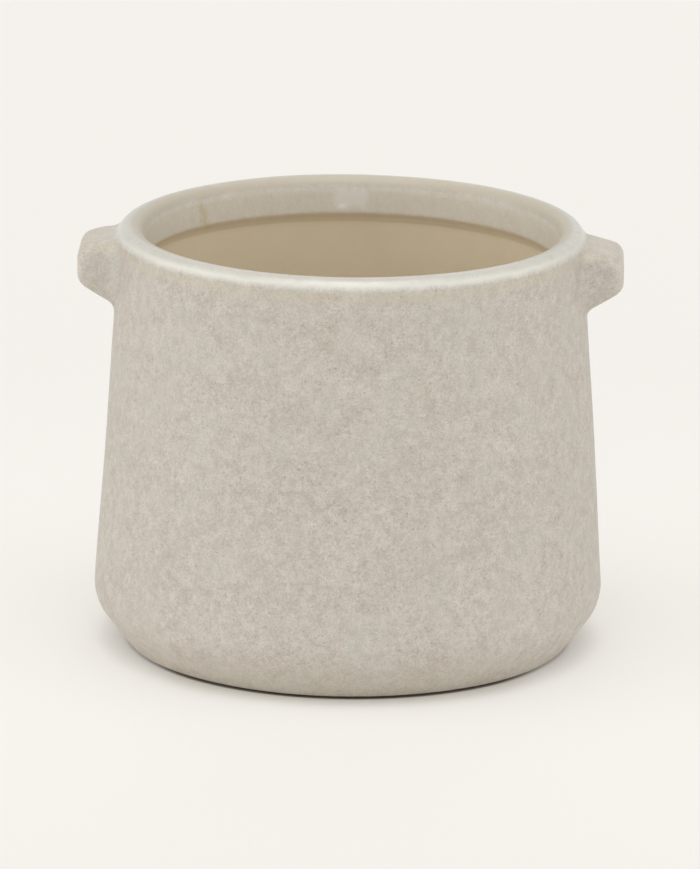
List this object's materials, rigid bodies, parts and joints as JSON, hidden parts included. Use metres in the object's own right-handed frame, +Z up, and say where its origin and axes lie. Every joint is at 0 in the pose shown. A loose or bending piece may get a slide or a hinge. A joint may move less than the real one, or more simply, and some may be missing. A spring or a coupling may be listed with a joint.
{
  "type": "cachepot",
  "caption": "Round stoneware cachepot flaring slightly to a rounded heel, with a thick rolled lip and two short block lugs just below the rim.",
  "frame": {"origin": "middle of the foot ring, on the surface that the pot stands on", "axes": "+X from the pot's axis through the middle of the right lug, the left lug lying along -X, +Y to the back of the pot in the picture, +Z up through the mouth"},
  "size_m": [0.1534, 0.144, 0.12],
  "materials": {
    "bare_clay": "matte",
    "slip": "matte",
    "outer_glaze": "satin",
    "liner_glaze": "satin"
  },
  "bodies": {
    "root": {"clay_body": "bare_clay", "left_lug": "bare_clay", "right_lug": "bare_clay", "left_lug_slip": "slip", "right_lug_slip": "slip", "outer_glaze": "outer_glaze", "liner_glaze": "liner_glaze"}
  },
  "joints": []
}
